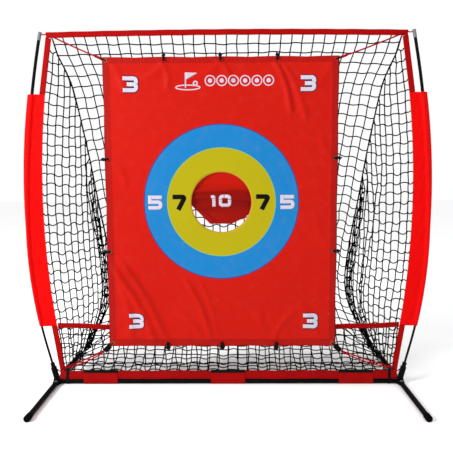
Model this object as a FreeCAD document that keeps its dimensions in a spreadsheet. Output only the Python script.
import FreeCAD, Part
import math
import os

from FreeCAD import Placement, Rotation, Vector

# A portable golf chipping net: a bowed fibreglass frame on folding steel feet,
# a black mesh bag behind it and a vinyl target sheet with a flap in its hole.
# Millimetres. +Z up, the golfer stands towards -Y, ground at Z = 0.
# Origin: on the ground under the middle of the base tube.

doc = FreeCAD.newDocument("ChippingNet")

DIMENSIONS = [
    # base tube and its two-piece joint
    ("tube_diameter", 22.2), ("tube_wall", 1.5), ("axis_height", 13), ("corner_x", 776),
    ("spigot_length", 240), ("spigot_gap", 0.1), ("spigot_wall", 1.5), ("rivet_x", 90),
    ("rivet_diameter", 5), ("rivet_head_diameter", 9), ("rivet_head_height", 1.4),
    ("snap_x", 100), ("snap_diameter", 8), ("snap_gap", 0.2), ("snap_proud", 3.5),
    ("snap_flange_y", -5.8), ("snap_back_y", -4.6), ("snap_flange_diameter", 10.4),
    ("leaf_width", 6),
    # corner brackets and folding legs
    ("block_length", 34), ("block_width", 26), ("block_corner", 5), ("ear_thick", 3),
    ("ear_radius", 14),
    ("tongue_thick", 6.4), ("tongue_radius", 12), ("tongue_gap", 0.2), ("plug_length", 40),
    ("pivot_offset", 32), ("bolt_diameter", 8), ("bolt_gap", 0.05), ("head_diameter", 14),
    ("head_height", 5), ("nut_height", 6), ("nut_radius", 7), ("thread_proud", 1),
    ("tongue_width", 22), ("leg_start", 50), ("leg_reach", 401),
    ("foot_radius", 13.5), ("foot_end", 405), ("foot_length", 34), ("foot_rounding", 3),
    # bow poles, sockets and tips
    ("pole_diameter", 10), ("pole_bore", 4), ("cord_diameter", 2.5), ("pole_lean", 14.5),
    ("bow_start_z", 173), ("bow_peak_z", 700), ("bow_upper_radius", 4300), ("pole_top_z", 1550),
    ("socket_diameter", 26), ("collar_diameter", 19), ("collar_z", 78), ("socket_top_z", 98),
    ("ferrule_low_z", 560), ("ferrule_high_z", 1060), ("ferrule_diameter", 13),
    ("ferrule_length", 60), ("end_sleeve_z", 1250), ("end_sleeve_diameter", 13.4),
    ("end_sleeve_gap", 2), ("tip_diameter", 15.5), ("tip_bottom_z", 1524), ("tip_top_z", 1558),
    ("pole_foot_z", 34), ("shock_cord_foot_z", 40), ("socket_gap", 0.1), ("tether_diameter", 4),
    # front border, hem, sleeves, band and wraps
    ("border_width", 25), ("border_thick", 2.5), ("border_y", 1.8), ("top_half", 762),
    ("top_z", 1545), ("bottom_half", 750), ("hem_low_y", -10.5), ("hem_low_z", 25.5),
    ("hem_top_y", 1), ("hem_top_z", 61), ("hem_thick", 4),
    ("sleeve_low_z", 268), ("sleeve_high_z", 1297), ("sleeve_thick", 3),
    ("sleeve_top_x", 862), ("sleeve_low_x", 846), ("sleeve_bulge_x", 895),
    ("sleeve_bulge_z", 745), ("sheath_radius", 9.5), ("sheath_bore", 7.2), ("band_z", 272),
    ("band_sag", 16), ("wrap_length", 155),
    ("wrap_side_x", 577), ("wrap_gap", 0.3), ("wrap_thick", 1.2), ("wrap_hem_radius", 2.5),
    ("anchor_width", 12), ("anchor_inset", 28),
    # net bag
    ("net_thick", 3), ("seam_gap", 4), ("seam_cord_diameter", 5), ("floor_z", 36),
    ("floor_front_y", 17), ("ramp_y", 200), ("lip_low_z", 66), ("floor_inset", 14),
    ("rear_hook_y", 360), ("rear_hook_inner_x", 728), ("rear_hook_diameter", 3.6),
    # target sheet, flap, eyelets, ties and straps
    ("target_x", -25), ("sheet_width", 1010), ("sheet_low_z", 182), ("sheet_top_z", 1447),
    ("sheet_thick", 2),
    ("sheet_y", -23), ("hole_radius", 130), ("hole_z", 826), ("flap_half", 142),
    ("flap_top_z", 961), ("flap_low_z", 731), ("flap_y", -19.8), ("flap_cut_left", 92),
    ("flap_cut_right_x", 97), ("flap_cut_right_z", 64),
    ("tape_low_z", 966), ("tape_height", 14), ("tape_gap", 0.1), ("eyelet_inset", 15),
    ("eyelet_x", 242), ("eyelet_upper_z", 1015), ("eyelet_lower_z", 610), ("eyelet_radius", 8),
    ("rim_front", 1), ("rim_back", 0.8), ("barrel_radius", 5), ("barrel_bore", 3.2),
    ("tie_radius", 10), ("tie_diameter", 5), ("tie_tail", 16), ("hook_radius", 13),
    ("hook_diameter", 5), ("grip_length", 22), ("grip_width", 16), ("grip_thick", 6),
    ("strap_width", 7), ("strap_thick", 2), ("strap_inset", 6),
]

sheet = doc.addObject("Spreadsheet::Sheet", "Sizes")
for row, (alias, number) in enumerate(DIMENSIONS, start=1):
    sheet.set(f"A{row}", alias)
    sheet.set(f"B{row}", str(number))
    sheet.setAlias(f"B{row}", alias)
doc.recompute()


def size(alias):
    return float(sheet.get(alias))


SIDES = (("left", -1), ("right", 1))
AXIS_Z = size("axis_height")
TUBE_RADIUS = size("tube_diameter") / 2
TUBE_BORE = TUBE_RADIUS - size("tube_wall")
NET = size("net_thick")

# Side border centreline: straight, bowed, straight, as |X| and Z.
BORDER_LINE = ((762, 1545), (799, 1299), (826, 800), (785, 282), (750, 53))
BORDER_BOW = 8  # the bowed stretch's own bulge beyond its chords
# Sewn seam between the back and side nets, from the top corner down: |X|, Y and Z.
SEAM = ((748, 9, 1529), (742, 60, 1470), (718, 110, 1398), (698, 145, 1315), (664, 219, 1070),
        (636, 285, 820), (610, 345, 600), (596, 380, 400), (630, 393, 250), (738, 397, 42))
# Side net front edge beside each seam point.
NET_FRONT_Z = (1528, 1470, 1398, 1290, 1070, 820, 600, 400, 250, 66)
# Across the bag: shares of its half width, and how far its rear bottom edge rises there.
SHARES = (-1, -0.8, 0, 0.8, 1)
REAR_RISE = (0, 103, 108, 103, 0)

# A length that runs past any solid it cuts.
PAST = 500
# How far one solid of a piece reaches into the next, so that they join.
BITE = 1

parts = {}


# ---------------------------------------------------------------- helpers

def keep(item, label):
    """Name an object as a finished sub-part."""
    item.Label = label
    parts[label] = item
    return item


def bound(kind, name, **expressions):
    """A Part primitive whose sizes follow the sheet."""
    item = doc.addObject(kind, name)
    for prop, expression in expressions.items():
        item.setExpression(prop, expression)
    return item


def place(item, x=0, y=0, z=0, rotation=Rotation()):
    item.Placement = Placement(Vector(x, y, z), rotation)
    return item


def boolean(kind, name, base, tool):
    item = doc.addObject(kind, name)
    item.Base = base
    item.Tool = tool
    return item


def feature(label, shape):
    """A sub-part made directly from a shape."""
    item = doc.addObject("Part::Feature", label)
    item.Shape = shape
    return keep(item, label)


def one_solid(shape):
    shape = shape.removeSplitter()
    return shape.Solids[0] if len(shape.Solids) == 1 else shape


def box(x0, x1, y0, y1, z0, z1):
    return Part.makeBox(x1 - x0, y1 - y0, z1 - z0, Vector(x0, y0, z0))


def rod(radius, start, end):
    run = end - start
    return Part.makeCylinder(radius, run.Length, start, run)


def mirrored(shape, sign):
    """The right-hand shape, or its mirror image in X."""
    if sign > 0:
        return shape
    return shape.mirror(Vector(0, 0, 0), Vector(1, 0, 0))


def feature_pair(label, *shapes):
    """One node that holds right-hand shapes and their mirror images."""
    solids = [mirrored(shape, sign) for _, sign in SIDES for shape in shapes]
    return feature(label, Part.makeCompound(solids))


def rounded_path(points, share=0.45):
    """Straight runs joined by tangent arcs as large as the runs allow."""
    edges = []
    start = points[0]
    for before, corner, after in zip(points, points[1:], points[2:]):
        back = (before - corner).normalize()
        ahead = (after - corner).normalize()
        half_turn = (math.pi - back.getAngle(ahead)) / 2
        shorter = min((before - corner).Length, (after - corner).Length)
        trim = share * shorter
        reach = trim / math.tan(half_turn)
        bisector = (back + ahead).normalize()
        middle = corner + bisector * (reach / math.cos(half_turn) - reach)
        edges.append(Part.LineSegment(start, corner + back * trim).toShape())
        edges.append(Part.Arc(corner + back * trim, middle, corner + ahead * trim).toShape())
        start = corner + ahead * trim
    edges.append(Part.LineSegment(start, points[-1]).toShape())
    return Part.Wire(edges)


def pipe(path, radius):
    """A round solid of one radius along a wire."""
    first = path.OrderedEdges[0]
    start = first.valueAt(first.FirstParameter)
    along = first.tangentAt(first.FirstParameter)
    ring = Part.Wire(Part.makeCircle(radius, start, along))
    return path.makePipeShell([ring], True, False)


def thick_panel(rows, shift):
    """A closed faceted solid: a grid of points and its copy moved by shift."""
    near = rows
    far = [[point + shift for point in line] for line in rows]
    last_row, last_column = len(rows) - 1, len(rows[0]) - 1
    triangles = []

    def quad(a, b, c, d):
        triangles.append((a, b, c))
        triangles.append((a, c, d))

    for i in range(last_row):
        for j in range(last_column):
            quad(near[i][j], near[i][j + 1], near[i + 1][j + 1], near[i + 1][j])
            quad(far[i][j], far[i + 1][j], far[i + 1][j + 1], far[i][j + 1])
        quad(near[i][0], near[i + 1][0], far[i + 1][0], far[i][0])
        quad(near[i + 1][last_column], near[i][last_column], far[i][last_column],
             far[i + 1][last_column])
    for j in range(last_column):
        quad(near[0][j + 1], near[0][j], far[0][j], far[0][j + 1])
        quad(near[last_row][j], near[last_row][j + 1], far[last_row][j + 1], far[last_row][j])
    faces = [Part.Face(Part.makePolygon([a, b, c, a])) for a, b, c in triangles]
    solid = Part.Solid(Part.Shell(faces))
    if solid.Volume < 0:
        solid.reverse()
    return solid


def border_wire(offset):
    """The side border's line on the right, moved sideways by offset."""
    top, upper, middle, lower, bottom = [Vector(x + offset, 0, z) for x, z in BORDER_LINE]
    return [Part.LineSegment(top, upper).toShape(),
            Part.Arc(upper, middle, lower).toShape(),
            Part.LineSegment(lower, bottom).toShape()]


def border_x(z):
    """The side border's centreline |X| at a height."""
    knots = sorted((point[1], point[0]) for point in BORDER_LINE)
    for (z0, x0), (z1, x1) in zip(knots, knots[1:]):
        if z <= z1:
            share = (z - z0) / (z1 - z0)
            bowed = BORDER_LINE[3][1] <= z0 < BORDER_LINE[1][1]
            bulge = 4 * share * (1 - share) * (BORDER_BOW if bowed else 0)
            return x0 + (x1 - x0) * share + bulge
    return knots[-1][1]


# ------------------------------------------------- the bow poles' centreline

LEAN = math.radians(size("pole_lean"))
FOOT = Vector(size("corner_x"), 0, AXIS_Z)
ALONG_POLE = Vector(math.sin(LEAN), 0, math.cos(LEAN))
BOW_START = FOOT + ALONG_POLE * ((size("bow_start_z") - AXIS_Z) / math.cos(LEAN))
LOWER_RADIUS = (size("bow_peak_z") - size("bow_start_z")) / math.sin(LEAN)
PEAK_X = BOW_START.x + LOWER_RADIUS * (1 - math.cos(LEAN))
UPPER_RADIUS = size("bow_upper_radius")


def bow_point(z):
    """The pole's centreline on the right at a height."""
    if z <= size("bow_start_z"):
        return FOOT + ALONG_POLE * ((z - AXIS_Z) / math.cos(LEAN))
    radius = LOWER_RADIUS if z < size("bow_peak_z") else UPPER_RADIUS
    rise = z - size("bow_peak_z")
    return Vector(PEAK_X - radius + math.sqrt(radius ** 2 - rise ** 2), 0, z)


def bow_wire(low, high):
    """The pole's path between two heights: a straight foot and two arcs."""
    stops = [low]
    for stop in (size("bow_start_z"), size("bow_peak_z")):
        if low < stop < high:
            stops.append(stop)
    stops.append(high)
    edges = []
    for start, end in zip(stops, stops[1:]):
        if end <= size("bow_start_z"):
            edges.append(Part.LineSegment(bow_point(start), bow_point(end)).toShape())
        else:
            middle = bow_point((start + end) / 2)
            edges.append(Part.Arc(bow_point(start), middle, bow_point(end)).toShape())
    return Part.Wire(edges)


def bow_tube(low, high, outer, inner):
    tube = pipe(bow_wire(low, high), outer)
    if inner:
        tube = tube.cut(pipe(bow_wire(low, high), inner))
    return one_solid(tube)


# ------------------------------------------------------------- base tube

TO_X = Rotation(Vector(0, 1, 0), 90)
TO_Y = Rotation(Vector(1, 0, 0), -90)
BLOCK_INNER = size("corner_x") - size("block_length") / 2
HALF_TUBE = "Sizes.corner_x - Sizes.block_length / 2"


def cross_hole(name, x, y, radius, length):
    """A round bar or cutter along +Y from a point on the tube's height."""
    cutter = bound("Part::Cylinder", name, Radius=radius, Height=length)
    return place(cutter, x, y, AXIS_Z, TO_Y)


RIVET_HOLE = "Sizes.rivet_diameter / 2"
SNAP_HOLE = "Sizes.snap_diameter / 2 + Sizes.snap_gap"
FRONT_REACH = 20


def front_hole(name, x, radius):
    """A cutter through the front wall only, ending on the tube's axis."""
    return cross_hole(name, x, -FRONT_REACH, radius, str(FRONT_REACH))


def base_tubes():
    for side, sign in SIDES:
        start = -BLOCK_INNER if sign < 0 else 0
        outer = bound("Part::Cylinder", f"tube_outer_{side}",
                      Radius="Sizes.tube_diameter / 2", Height=HALF_TUBE)
        inner = bound("Part::Cylinder", f"tube_inner_{side}",
                      Radius="Sizes.tube_diameter / 2 - Sizes.tube_wall", Height=HALF_TUBE)
        place(outer, start, 0, AXIS_Z, TO_X)
        place(inner, start, 0, AXIS_Z, TO_X)
        tube = boolean("Part::Cut", f"tube_{side}", outer, inner)
        if sign < 0:
            hole = front_hole("rivet_hole", -size("rivet_x"), RIVET_HOLE)
        else:
            hole = front_hole("snap_hole", size("snap_x"), SNAP_HOLE)
        keep(boolean("Part::Cut", f"base_{side}", tube, hole), f"base_tube_{side}")


def base_spigot():
    outer = bound("Part::Cylinder", "spigot_outer", Height="Sizes.spigot_length",
                  Radius="Sizes.tube_diameter / 2 - Sizes.tube_wall - Sizes.spigot_gap")
    inner = bound("Part::Cylinder", "spigot_inner", Height="Sizes.spigot_length",
                  Radius="Sizes.tube_diameter / 2 - Sizes.tube_wall - Sizes.spigot_gap"
                         " - Sizes.spigot_wall")
    for item in (outer, inner):
        place(item, -size("spigot_length") / 2, 0, AXIS_Z, TO_X)
    tube = boolean("Part::Cut", "spigot_tube", outer, inner)
    rivet_hole = front_hole("spigot_rivet_hole", -size("rivet_x"), RIVET_HOLE)
    snap_hole = front_hole("spigot_snap_hole", size("snap_x"), SNAP_HOLE)
    holes = boolean("Part::Fuse", "spigot_holes", rivet_hole, snap_hole)
    keep(boolean("Part::Cut", "spigot", tube, holes), "base_spigot")


def spigot_rivet():
    shank_end = -(TUBE_BORE - size("spigot_gap") - size("spigot_wall"))
    shank = cross_hole("rivet_shank", -size("rivet_x"), -TUBE_RADIUS, RIVET_HOLE,
                       f"Sizes.tube_diameter / 2 + {shank_end}")
    head = cross_hole("rivet_head", -size("rivet_x"), -TUBE_RADIUS - size("rivet_head_height"),
                      "Sizes.rivet_head_diameter / 2", "Sizes.rivet_head_height")
    keep(boolean("Part::Fuse", "rivet", shank, head), "spigot_rivet")


def snap_button():
    """A domed plunger with a flange, free to sink flush into the tube, and its leaf spring."""
    x = size("snap_x")
    radius = size("snap_diameter") / 2
    tip = -TUBE_RADIUS - size("snap_proud")
    flange_y, back_y = size("snap_flange_y"), size("snap_back_y")
    plunger = rod(radius, Vector(x, tip, AXIS_Z), Vector(x, flange_y, AXIS_Z))
    rim = [edge for edge in plunger.Edges
           if isinstance(edge.Curve, Part.Circle) and abs(edge.Curve.Center.y - tip) < 0.01]
    plunger = plunger.makeFillet(radius * 0.6, rim)
    flange = rod(size("snap_flange_diameter") / 2, Vector(x, flange_y, AXIS_Z),
                 Vector(x, back_y, AXIS_Z))
    feature("snap_button", one_solid(plunger.fuse(flange)))
    # V-shaped leaf behind the button, bearing on the spigot's far wall.
    outline = [Vector(x - 5, -4.5, 0), Vector(x + 6, -4.5, 0), Vector(x + 6, -3.9, 0),
               Vector(x - 28, 0.2, 0), Vector(x + 12, 4.9, 0), Vector(x + 12, 5.5, 0),
               Vector(x - 31, 0.4, 0), Vector(x - 31, -0.3, 0)]
    leaf_width = size("leaf_width")
    leaf = Part.Face(Part.makePolygon(outline + [outline[0]])).extrude(Vector(0, 0, leaf_width))
    leaf.translate(Vector(0, 0, AXIS_Z - leaf_width / 2))
    feature("snap_button_spring", leaf)


# ------------------------------------------------- corner brackets and legs

def bolt_hole(x, y):
    """An upright cutter that leaves the bolt's running fit."""
    radius = size("bolt_diameter") / 2 + size("bolt_gap")
    return rod(radius, Vector(x, y, -PAST), Vector(x, y, PAST))


def corner_bracket(side, sign):
    """A block that plugs into the base tube, with two pairs of pivot ears."""
    x = size("corner_x")
    half_width = size("block_width") / 2
    half_length = size("block_length") / 2
    offset = size("pivot_offset")
    block = box(x - half_length, x + half_length, -half_width, half_width,
                AXIS_Z - TUBE_RADIUS, AXIS_Z + TUBE_RADIUS)
    upright = [edge for edge in block.Edges if abs(edge.tangentAt(0).z) > 0.9]
    block = block.makeFillet(size("block_corner"),
                             [edge for edge in upright if edge.CenterOfMass.x > x])
    plug = rod(TUBE_BORE - size("spigot_gap"),
               Vector(x - half_length - size("plug_length"), 0, AXIS_Z),
               Vector(x - half_length + BITE, 0, AXIS_Z))
    shape = block.fuse(plug)
    inner = size("tongue_thick") / 2 + size("tongue_gap")
    for bottom in (AXIS_Z - inner - size("ear_thick"), AXIS_Z + inner):
        top = bottom + size("ear_thick")
        for way in (-1, 1):
            near, far = sorted((way * (half_width - BITE), way * offset))
            ear = box(x - size("ear_radius"), x + size("ear_radius"), near, far, bottom, top)
            ear = ear.fuse(Part.makeCylinder(size("ear_radius"), size("ear_thick"),
                                             Vector(x, way * offset, bottom)))
            shape = shape.fuse(ear)
    for way in (-1, 1):
        shape = shape.cut(bolt_hole(x, way * offset))
    feature(f"corner_bracket_{side}", mirrored(one_solid(shape), sign))


def pivot_fasteners():
    """Four carriage bolts and four lock nuts, one pair in each leg pivot."""
    ear_low = AXIS_Z - size("tongue_thick") / 2 - size("tongue_gap") - size("ear_thick")
    ear_high = 2 * AXIS_Z - ear_low
    bolts, nuts = [], []
    shank = size("bolt_diameter") / 2
    for _, sign in SIDES:
        for way in (-1, 1):
            x, y = sign * size("corner_x"), way * size("pivot_offset")
            head = Part.makeCylinder(size("head_diameter") / 2, size("head_height"),
                                     Vector(x, y, ear_low - size("head_height")))
            foot = head.BoundBox.ZMin
            rim = [edge for edge in head.Edges if abs(edge.CenterOfMass.z - foot) < 0.01]
            head = head.makeFillet(2, rim)
            thread_end = ear_high + size("nut_height") + size("thread_proud")
            thread = rod(shank, Vector(x, y, ear_low - BITE), Vector(x, y, thread_end))
            bolts.append(one_solid(head.fuse(thread)))
            turns = [math.radians(60 * k) for k in range(7)]
            corners = [Vector(x + size("nut_radius") * math.cos(turn),
                              y + size("nut_radius") * math.sin(turn), ear_high)
                       for turn in turns]
            nut = Part.Face(Part.makePolygon(corners)).extrude(Vector(0, 0, size("nut_height")))
            nuts.append(nut.cut(rod(shank, Vector(x, y, 0), Vector(x, y, PAST))))
    feature("pivot_bolts", Part.makeCompound(bolts))
    feature("pivot_nuts", Part.makeCompound([nut.Solids[0] for nut in nuts]))


def leg(place_name, sign, way):
    """A folding leg: hinge tongue, steel tube and rubber foot, along +Y or -Y."""
    x = sign * size("corner_x")
    offset, start, reach = size("pivot_offset"), size("leg_start"), size("leg_reach")
    thick = size("tongue_thick")
    low = AXIS_Z - thick / 2
    near, far = sorted((way * offset, way * (start - 0.5)))
    half_width = size("tongue_width") / 2
    tongue = box(x - half_width, x + half_width, near, far, low, low + thick)
    tongue = tongue.fuse(Part.makeCylinder(size("tongue_radius"), thick,
                                           Vector(x, way * offset, low)))
    plug = rod(TUBE_BORE - size("spigot_gap"), Vector(x, way * (start - BITE), AXIS_Z),
               Vector(x, way * (start + size("plug_length")), AXIS_Z))
    tongue = tongue.fuse(plug).cut(bolt_hole(x, way * offset))
    feature(f"{place_name}_leg_tongue", one_solid(tongue))

    turn = Rotation(Vector(1, 0, 0), -90 * way)
    outer = bound("Part::Cylinder", f"{place_name}_outer", Radius="Sizes.tube_diameter / 2",
                  Height="Sizes.leg_reach - Sizes.leg_start")
    inner = bound("Part::Cylinder", f"{place_name}_inner",
                  Radius="Sizes.tube_diameter / 2 - Sizes.tube_wall",
                  Height="Sizes.leg_reach - Sizes.leg_start")
    for item in (outer, inner):
        place(item, x, way * start, AXIS_Z, turn)
    keep(boolean("Part::Cut", f"{place_name}_tube", outer, inner), f"{place_name}_leg_tube")

    foot_start = size("foot_end") - size("foot_length")
    foot = rod(size("foot_radius"), Vector(x, way * foot_start, AXIS_Z),
               Vector(x, way * size("foot_end"), AXIS_Z))
    end_rim = [edge for edge in foot.Edges
               if abs(edge.CenterOfMass.y - way * size("foot_end")) < 0.01]
    foot = foot.makeFillet(size("foot_rounding"), end_rim)
    foot = foot.cut(rod(TUBE_RADIUS, Vector(x, way * (foot_start - BITE), AXIS_Z),
                        Vector(x, way * reach, AXIS_Z)))
    foot = foot.cut(box(x - PAST, x + PAST, -PAST, PAST, -PAST, 0))
    feature(f"{place_name}_leg_foot", one_solid(foot))


# --------------------------------------------------------- poles and sockets

def pole_set(side, sign):
    """The socket and the three pole sections of one bow."""
    pole = size("pole_diameter") / 2
    block_top = AXIS_Z + TUBE_RADIUS
    below_block = box(FOOT.x - PAST, FOOT.x + PAST, -PAST, PAST, -PAST, block_top)
    start = FOOT + ALONG_POLE * 2
    collar = bow_point(size("collar_z"))
    socket = rod(size("socket_diameter") / 2, start, collar)
    socket = socket.fuse(rod(size("collar_diameter") / 2, start, bow_point(size("socket_top_z"))))
    socket = socket.cut(below_block)
    socket = socket.cut(rod(pole + size("socket_gap"), start, bow_point(size("bow_start_z"))))
    feature(f"pole_socket_{side}", mirrored(one_solid(socket), sign))

    joints = (size("pole_foot_z"), size("ferrule_low_z"), size("ferrule_high_z"),
              size("pole_top_z"))
    for name, low, high in zip(("lower", "middle", "upper"), joints, joints[1:]):
        section = bow_tube(low, high, pole, size("pole_bore") / 2)
        feature(f"{name}_pole_{side}", mirrored(section, sign))


def shock_cords_and_tips():
    """The elastic cord inside each bow and the plastic cap on its end."""
    shock_cord = bow_tube(size("shock_cord_foot_z"), size("pole_top_z") - 6,
                          size("cord_diameter") / 2, 0)
    feature_pair("shock_cords", shock_cord)
    cap = rod(size("tip_diameter") / 2, bow_point(size("tip_bottom_z")),
              bow_point(size("tip_top_z")))
    rim = [edge for edge in cap.Edges
           if isinstance(edge.Curve, Part.Circle) and edge.CenterOfMass.z > size("tip_top_z") - 2]
    cap = cap.makeFillet(2.5, rim)
    pole = size("pole_diameter") / 2
    cap = cap.cut(pipe(bow_wire(size("tip_bottom_z") - 5, size("pole_top_z")), pole))
    feature_pair("tip_caps", one_solid(cap))


def pole_ferrules():
    """Four metal sleeves over the joints between the pole sections."""
    half = size("ferrule_length") / 2
    feature_pair("pole_ferrules", *[
        bow_tube(middle - half, middle + half, size("ferrule_diameter") / 2,
                 size("pole_diameter") / 2)
        for middle in (size("ferrule_low_z"), size("ferrule_high_z"))])


def pole_end_sleeves():
    """Black plastic tubes over the bare ends of the upper pole sections, just below the caps."""
    top = size("tip_bottom_z") - size("end_sleeve_gap")
    feature_pair("pole_end_sleeves", bow_tube(size("end_sleeve_z"), top,
                                              size("end_sleeve_diameter") / 2,
                                              size("pole_diameter") / 2))


def tethers():
    """Short cords from the border's corners to the pole tip and the socket."""
    tip = bow_point(size("tip_top_z") - 10)
    radius = size("tether_diameter") / 2
    start = Vector(size("top_half") + size("border_width") / 2 + 0.5, size("border_y") + 1.2,
                   size("top_z") + 4)
    end = tip - Vector(size("tip_diameter") / 2 + 1, 0, 0)
    feature_pair("tip_tethers", rod(radius, start, end))
    low_start = Vector(size("bottom_half") + size("border_width") / 2 + 1,
                       size("border_y") + 1.2, 58)
    low_end = bow_point(66) - Vector(size("socket_diameter") / 2 + 2, 0, 0)
    feature_pair("lower_tethers", rod(radius, low_start, low_end))


# ------------------------------------------------------ red border and straps

def side_border(side, sign):
    half = size("border_width") / 2
    inner, outer = border_wire(-half), border_wire(half)
    top = Part.LineSegment(inner[0].valueAt(inner[0].FirstParameter),
                           outer[0].valueAt(outer[0].FirstParameter)).toShape()
    bottom = Part.LineSegment(inner[2].valueAt(inner[2].LastParameter),
                              outer[2].valueAt(outer[2].LastParameter)).toShape()
    face = Part.Face(Part.Wire(Part.__sortEdges__(inner + outer + [top, bottom])))
    strip = face.extrude(Vector(0, size("border_thick"), 0))
    strip.translate(Vector(0, size("border_y"), 0))
    strip = strip.cut(box(0, 2 * PAST, -PAST, PAST, size("top_z") - half, size("top_z") + PAST))
    strip = strip.cut(box(0, 2 * PAST, -PAST, PAST, 0, size("hem_top_z")))
    feature(f"side_border_{side}", mirrored(one_solid(strip), sign))


def straight_bands():
    """Top border and bottom hem: folded strips across the whole front."""
    top = bound("Part::Box", "top_strip", Width="Sizes.border_thick", Height="Sizes.border_width",
                Length="2 * Sizes.top_half + Sizes.border_width")
    half = size("border_width") / 2
    place(top, -size("top_half") - half, size("border_y"), size("top_z") - half)
    keep(top, "top_border")
    # The hem leans forward over the base tube from the foot of the net.
    low = Vector(0, size("hem_low_y"), size("hem_low_z"))
    high = Vector(0, size("hem_top_y"), size("hem_top_z"))
    rise = (high - low).normalize()
    out = Vector(0, rise.z, -rise.y) * (size("hem_thick") / 2)
    outline = [low - out, low + out, high + out, high - out, low - out]
    hem = Part.Face(Part.makePolygon(outline))
    hem = hem.extrude(Vector(2 * size("bottom_half") + size("border_width"), 0, 0))
    hem.translate(Vector(-size("bottom_half") - half, 0, 0))
    feature("bottom_hem", hem)


def pole_sleeve(side, sign):
    """A flat fabric panel with a round sheath along its outer edge for the pole."""
    low, high = size("sleeve_low_z"), size("sleeve_high_z")
    half = size("border_width") / 2
    corners = [Vector(border_x(high) - half, 0, high), Vector(size("sleeve_top_x"), 0, high),
               Vector(size("sleeve_low_x"), 0, low), Vector(border_x(low) - half, 0, low)]
    outer_bulge = Vector(size("sleeve_bulge_x"), 0, size("sleeve_bulge_z"))
    inner_z = 790
    inner_bulge = Vector(border_x(inner_z) - half, 0, inner_z)
    edges = [Part.LineSegment(corners[0], corners[1]).toShape(),
             Part.Arc(corners[1], outer_bulge, corners[2]).toShape(),
             Part.LineSegment(corners[2], corners[3]).toShape(),
             Part.Arc(corners[3], inner_bulge, corners[0]).toShape()]
    thick = size("sleeve_thick")
    panel = Part.Face(Part.Wire(edges)).extrude(Vector(0, thick, 0))
    panel.translate(Vector(0, -thick / 2, 0))
    sheath = pipe(bow_wire(low, high), size("sheath_radius"))
    for bottom, top in ((low - PAST, low), (high, high + PAST)):
        sheath = sheath.cut(box(0, 2 * PAST, -PAST, PAST, bottom, top))
    bore = pipe(bow_wire(low - 20, high + 20), size("sheath_bore"))
    feature(f"pole_sleeve_{side}", mirrored(one_solid(panel.fuse(sheath).cut(bore)), sign))


def lip_band():
    """The band over the low front lip, sagging from side to side."""
    half_span = border_x(size("band_z")) - size("border_width") / 2 - 3
    y = size("border_y")
    low = size("band_z") - size("border_width") / 2
    edges = []
    for lift in (0, size("border_width")):
        ends = [Vector(sign * half_span, y, low + lift) for sign in (-1, 1)]
        middle = Vector(0, y, low + lift - size("band_sag"))
        edges.append(Part.Arc(ends[0], middle, ends[1]).toShape())
    for sign in (-1, 1):
        foot = Vector(sign * half_span, y, low)
        edges.append(Part.LineSegment(foot, foot + Vector(0, 0, size("border_width"))).toShape())
    face = Part.Face(Part.Wire(Part.__sortEdges__(edges)))
    feature("lip_band", face.extrude(Vector(0, size("border_thick"), 0)))


def belt(circles):
    """A face bounded by a belt round circles given anticlockwise as Y, Z and radius."""
    tangents = []
    for (y0, z0, r0), (y1, z1, r1) in zip(circles, circles[1:] + circles[:1]):
        heading = math.atan2(z1 - z0, y1 - y0)
        tangents.append(heading - math.acos((r0 - r1) / math.hypot(y1 - y0, z1 - z0)))

    def on(circle, angle):
        y, z, radius = circle
        return Vector(0, y + radius * math.cos(angle), z + radius * math.sin(angle))

    edges = []
    for k, circle in enumerate(circles):
        start, end = tangents[k - 1], tangents[k]
        turn = (end - start) % (2 * math.pi)
        edges.append(Part.Arc(on(circle, start), on(circle, start + turn / 2),
                              on(circle, end)).toShape())
        following = circles[(k + 1) % len(circles)]
        edges.append(Part.LineSegment(on(circle, end), on(following, end)).toShape())
    return Part.Face(Part.Wire(edges))


def wrap_outline(grow):
    """The inside of a wrap, seen along X: round the base tube and the leaning hem."""
    hem_radius = size("wrap_hem_radius") + grow
    return belt([(0, AXIS_Z, TUBE_RADIUS + size("wrap_gap") + grow),
                 (size("hem_top_y"), size("hem_top_z"), hem_radius),
                 (size("hem_low_y"), size("hem_low_z"), hem_radius)])


def base_wraps():
    """Three hook-and-loop wraps that hold the hem to the base tube."""
    ring = wrap_outline(size("wrap_thick")).cut(wrap_outline(0))
    wraps = []
    for x in (-size("wrap_side_x"), 0, size("wrap_side_x")):
        wrap = ring.extrude(Vector(size("wrap_length"), 0, 0))
        wrap.translate(Vector(x - size("wrap_length") / 2, 0, 0))
        wraps.append(wrap.Solids[0])
    feature("base_wraps", Part.makeCompound(wraps))


def hem_anchors():
    """Two black elastic loops from the hem's ends round the base tube."""
    ring = wrap_outline(size("wrap_thick")).cut(wrap_outline(0))
    loop = ring.extrude(Vector(size("anchor_width"), 0, 0))
    loop.translate(Vector(size("bottom_half") - size("anchor_inset"), 0, 0))
    feature_pair("hem_anchor_loops", loop.Solids[0])


# ---------------------------------------------------------------- net bag

def back_net():
    rows = []
    for x, y, z in SEAM:
        edge = x - size("seam_gap")
        rows.append([Vector(share * edge, y, z) for share in SHARES])
    rows[-1] = [point + Vector(0, 0, rise) for point, rise in zip(rows[-1], REAR_RISE)]
    feature("back_net", thick_panel(rows, Vector(0, NET, 0)))


def side_net(side, sign):
    rows = []
    for (x, y, z), front_z in zip(SEAM, NET_FRONT_Z):
        seam_edge = Vector(x + size("seam_gap") + 3, y, z)
        front_x = border_x(front_z) - size("border_width") / 2 - 1 - NET
        front = Vector(max(front_x, x + size("seam_gap") + 4), size("border_y") + 4.5, front_z)
        rows.append([seam_edge, front])
    panel = thick_panel(rows, Vector(NET, 0, 0))
    feature(f"side_net_{side}", mirrored(panel, sign))


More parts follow.
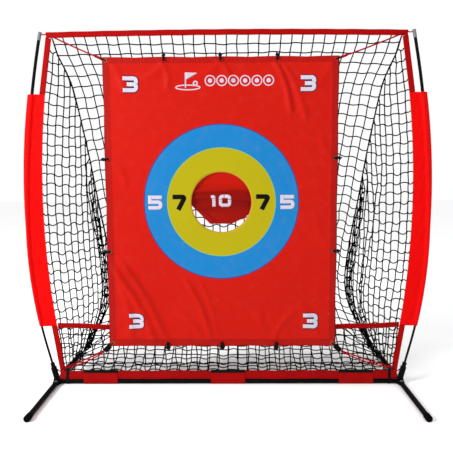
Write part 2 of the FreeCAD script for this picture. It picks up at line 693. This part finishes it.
def floor_and_lip():
    floor_z = size("floor_z")
    half = SEAM[-1][0] - size("floor_inset")
    rows = [[Vector(share * half, y, floor_z + rise * lifted)
             for share, rise in zip(SHARES, REAR_RISE)]
            for y, lifted in ((size("floor_front_y"), 0), (size("ramp_y"), 0),
                              (SEAM[-1][1] - 3, 1))]
    feature("floor_net", thick_panel(rows, Vector(0, 0, NET)))
    y = size("border_y") + 0.4
    top = size("band_z") - size("border_width") / 2 - size("band_sag") - 1
    rows = []
    for half, z in ((size("bottom_half"), size("lip_low_z")), (border_x(top), top)):
        reach = half - size("floor_inset")
        rows.append([Vector(-reach, y, z), Vector(reach, y, z)])
    feature("front_lip_net", thick_panel(rows, Vector(0, NET - 1, 0)))


def seam_cords():
    points = [Vector(x, y + NET / 2, z) for x, y, z in SEAM]
    feature_pair("seam_cords", pipe(rounded_path(points), size("seam_cord_diameter") / 2))


def rear_hooks():
    """Two wire hooks that pull the bag's rear corners out over the rear legs."""
    over = AXIS_Z + TUBE_RADIUS + 3
    y = size("rear_hook_y")
    corner = size("corner_x")
    path = rounded_path([Vector(size("rear_hook_inner_x"), y, over + 3),
                         Vector(corner - 10, y, over + 2),
                         Vector(corner + 17, y, over - 1),
                         Vector(corner + 16, y, AXIS_Z + 2)], 0.3)
    feature_pair("rear_corner_hooks", pipe(path, size("rear_hook_diameter") / 2))


# ------------------------------------------------------------ target sheet

def eyelet_places():
    """All fourteen eyelet centres with the way out to the sheet's edge."""
    half = size("sheet_width") / 2
    low, top = size("sheet_low_z"), size("sheet_top_z")
    inset = size("eyelet_inset")
    spots = []
    for z, up in ((top - inset, 1), (low + inset, -1)):
        for x in (-half + inset, half - inset):
            spots.append((Vector(x, 0, z), Vector(math.copysign(1, x), 0, up).normalize()))
        for x in (-size("eyelet_x"), 0, size("eyelet_x")):
            spots.append((Vector(x, 0, z), Vector(0, 0, up)))
    for x in (-half + inset, half - inset):
        for z in (size("eyelet_upper_z"), size("eyelet_lower_z")):
            spots.append((Vector(x, 0, z), Vector(math.copysign(1, x), 0, 0)))
    return [(spot + Vector(size("target_x"), 0, 0), out) for spot, out in spots]


def is_corner(out):
    return abs(out.x * out.z) > 0.1


def target_sheet():
    y, thick = size("sheet_y"), size("sheet_thick")
    face = bound("Part::Box", "sheet_blank", Length="Sizes.sheet_width", Width="Sizes.sheet_thick",
                 Height="Sizes.sheet_top_z - Sizes.sheet_low_z")
    place(face, size("target_x") - size("sheet_width") / 2, y, size("sheet_low_z"))
    hole = bound("Part::Cylinder", "sheet_hole", Radius="Sizes.hole_radius",
                 Height="3 * Sizes.sheet_thick")
    place(hole, size("target_x"), y - thick, size("hole_z"), TO_Y)
    holed = boolean("Part::Cut", "sheet_holed", face, hole)
    drill = doc.addObject("Part::Feature", "eyelet_drill")
    drill.Shape = Part.makeCompound([
        rod(size("barrel_radius"), spot + Vector(0, y - thick, 0),
            spot + Vector(0, y + 2 * thick, 0))
        for spot, _ in eyelet_places()])
    keep(boolean("Part::Cut", "sheet_drilled", holed, drill), "target_sheet")


def eyelets():
    """Fourteen pressed eyelets: a barrel through the sheet and a rim on each face."""
    front = Vector(0, size("sheet_y"), 0)
    back = front + Vector(0, size("sheet_thick"), 0)
    front_face = front - Vector(0, size("rim_front"), 0)
    back_face = back + Vector(0, size("rim_back"), 0)
    rings = []
    for spot, _ in eyelet_places():
        ring = rod(size("barrel_radius"), spot + front_face, spot + back_face)
        ring = ring.fuse(rod(size("eyelet_radius"), spot + front_face, spot + front))
        ring = ring.fuse(rod(size("eyelet_radius"), spot + back, spot + back_face))
        ring = ring.cut(rod(size("barrel_bore"), spot + front_face, spot + back_face))
        rings.append(one_solid(ring))
    feature("eyelets", Part.makeCompound(rings))


def edge_loops():
    """Ten cord ties and four corner hooks, each a ring through an eyelet round the edge."""
    middle_y = size("sheet_y") + size("sheet_thick") / 2
    ties, hooks = [], []
    for spot, out in eyelet_places():
        corner = is_corner(out)
        radius = size("hook_radius") if corner else size("tie_radius")
        thick = (size("hook_diameter") if corner else size("tie_diameter")) / 2
        centre = spot + Vector(0, middle_y, 0) + out * radius
        normal = out.cross(Vector(0, 1, 0))
        ring = Part.makeTorus(radius, thick, centre, normal)
        if corner:
            grip_start = centre + out * (radius - 0.5)
            width, depth = size("grip_width"), size("grip_thick")
            grip = Part.makeBox(size("grip_length"), width, depth, Vector(0, -width / 2, -depth / 2))
            turn = Placement(grip_start, Rotation(out, normal, Vector(0, 1, 0), "XYZ"))
            grip = grip.transformGeometry(turn.toMatrix())
            hooks.append(one_solid(ring.fuse(grip)))
        else:
            tail = rod(thick, centre + out * radius, centre + out * (radius + size("tie_tail")))
            ties.append(one_solid(ring.fuse(tail)))
    feature("edge_ties", Part.makeCompound(ties))
    feature("strap_hooks", Part.makeCompound(hooks))


def corner_straps():
    """Four flat cords from the border's corners to the sheet's corner hooks."""
    half, inset = size("sheet_width") / 2, size("eyelet_inset")
    # The strap starts 2 mm past the hook's grip, which points out along the diagonal.
    hook_reach = (2 * size("hook_radius") + size("grip_length") + 2) * math.sqrt(0.5)
    middle_y = size("sheet_y") + size("sheet_thick") / 2
    width, thick = size("strap_width"), size("strap_thick")
    for level, up in (("upper", 1), ("lower", -1)):
        eyelet_z = size("sheet_top_z") - inset if up > 0 else size("sheet_low_z") + inset
        far_x = (size("top_half") if up > 0 else size("bottom_half")) - size("strap_inset")
        far_z = size("top_z") - 2 if up > 0 else size("hem_top_z") + 14
        straps = []
        for _, sign in SIDES:
            near = Vector(size("target_x") + sign * (half - inset + hook_reach), middle_y,
                          eyelet_z + up * hook_reach)
            far = Vector(sign * far_x, size("border_y") - thick / 2 - 0.2, far_z)
            run = far - near
            flat = Part.makeBox(run.Length, width, thick, Vector(0, -width / 2, -thick / 2))
            across = Vector(0, 1, 0).cross(run).normalize()
            turn = Placement(near, Rotation(run, across, run.cross(across), "XZY"))
            straps.append(flat.transformGeometry(turn.toMatrix()))
        feature(f"{level}_straps", Part.makeCompound(straps))


def flap():
    """The flap behind the hole and the tape that hangs it on the sheet."""
    left = size("target_x") - size("flap_half")
    right = size("target_x") + size("flap_half")
    top, low, y = size("flap_top_z"), size("flap_low_z"), size("flap_y")
    corners = [Vector(left, y, top), Vector(right, y, top),
               Vector(right, y, low + size("flap_cut_right_z")),
               Vector(right - size("flap_cut_right_x"), y, low),
               Vector(left + size("flap_cut_left"), y, low),
               Vector(left, y, low + size("flap_cut_left"))]
    blank = Part.Face(Part.makePolygon(corners + [corners[0]]))
    feature("target_flap", blank.extrude(Vector(0, size("sheet_thick"), 0)))
    tape = bound("Part::Box", "flap_tape_blank", Length="2 * Sizes.flap_half",
                 Width="Sizes.sheet_thick + 1", Height="Sizes.tape_height")
    place(tape, left, size("sheet_y") + size("sheet_thick") + size("tape_gap"),
          size("tape_low_z"))
    keep(tape, "flap_tape")


# ------------------------------------------------------------------ build

base_tubes()
base_spigot()
spigot_rivet()
snap_button()
pivot_fasteners()
pole_ferrules()
shock_cords_and_tips()
pole_end_sleeves()
tethers()
straight_bands()
lip_band()
base_wraps()
hem_anchors()
back_net()
floor_and_lip()
seam_cords()
rear_hooks()
target_sheet()
eyelets()
edge_loops()
corner_straps()
flap()
for side_name, side_sign in SIDES:
    corner_bracket(side_name, side_sign)
    leg(f"front_{side_name}", side_sign, -1)
    leg(f"rear_{side_name}", side_sign, 1)
    pole_set(side_name, side_sign)
    side_border(side_name, side_sign)
    pole_sleeve(side_name, side_sign)
    side_net(side_name, side_sign)

doc.recompute()
for item in doc.Objects:
    if "Invalid" in item.State or "Error" in item.State:
        raise RuntimeError(f"{item.Name} did not build: {item.State}")
for label, item in parts.items():
    if item.Shape.isNull() or not item.Shape.isValid():
        raise RuntimeError(f"{label} has no valid shape")

os.makedirs("parts", exist_ok=True)
for label, item in parts.items():
    item.Shape.exportStep(f"parts/{label}.step")
print(len(parts), "sub-parts")
